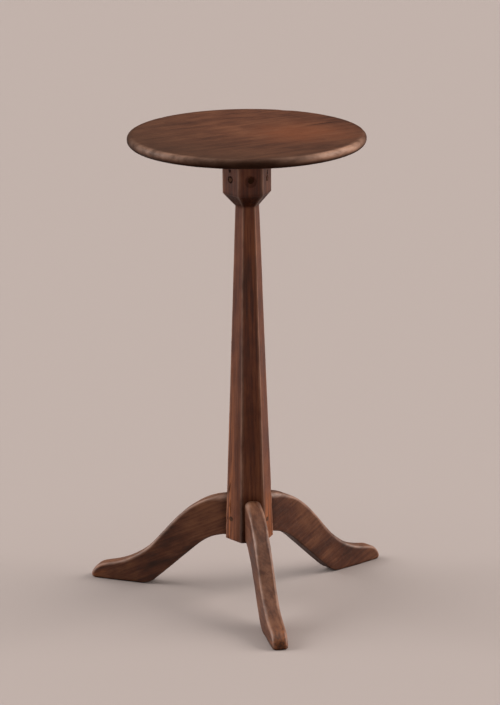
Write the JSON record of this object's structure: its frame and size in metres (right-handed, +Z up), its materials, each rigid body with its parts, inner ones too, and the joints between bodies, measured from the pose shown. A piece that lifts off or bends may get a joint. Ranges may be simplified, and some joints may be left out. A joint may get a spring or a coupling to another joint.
{
  "type": "tilt top table",
  "caption": "Small wooden stand: a round board hinges on a pivot block at the head of a tapered hexagonal post on curved tripod legs, and a turn button holds it level.",
  "frame": {"origin": "on the floor, in the middle of the footprint's bounding rectangle; the post's axis stands 38.6 mm behind it, at +Y", "axes": "+Z up along the post; the front leg points along -Y and the other two 120 degrees either side; +X is to the right seen from the front; the tilted board shows its face towards +Y"},
  "size_m": [0.4378, 0.4168, 0.686],
  "materials": {
    "post_wood": "old oiled finish, satin, worn at the arrises",
    "leg_wood": "old oiled finish, satin, worn at the arrises",
    "board_wood": "old worn varnish, satin",
    "inner_wood": "unfinished, darkened by age",
    "peg_wood": "hardwood pegs, pared flush",
    "screw_iron": "dark iron, dull"
  },
  "bodies": {
    "stand": {"post": "post_wood", "leg_front": "leg_wood", "leg_right": "leg_wood", "leg_left": "leg_wood", "leg_pegs": "peg_wood", "pivot_block": "inner_wood", "head_pegs": "peg_wood", "pivot_pin_left": "peg_wood", "pivot_pin_right": "peg_wood"},
    "top": {"top_board": "board_wood", "batten_left": "inner_wood", "batten_right": "inner_wood", "batten_screws": "screw_iron", "button_spacer": "peg_wood", "button_screw": "screw_iron"},
    "button": {"turn_button": "inner_wood"}
  },
  "joints": [
    {"name": "top_tilt", "type": "hinge", "parent": "stand", "child": "top", "pos_m": [0, 0.0726, 0.6605], "axis": [-1, 0, 0], "range_deg": [0, 90]},
    {"name": "button_turn", "type": "hinge", "parent": "top", "child": "button", "pos_m": [0, -0.0254, 0.6607], "axis": [0, 0, 1], "range_deg": [0, 90]}
  ]
}
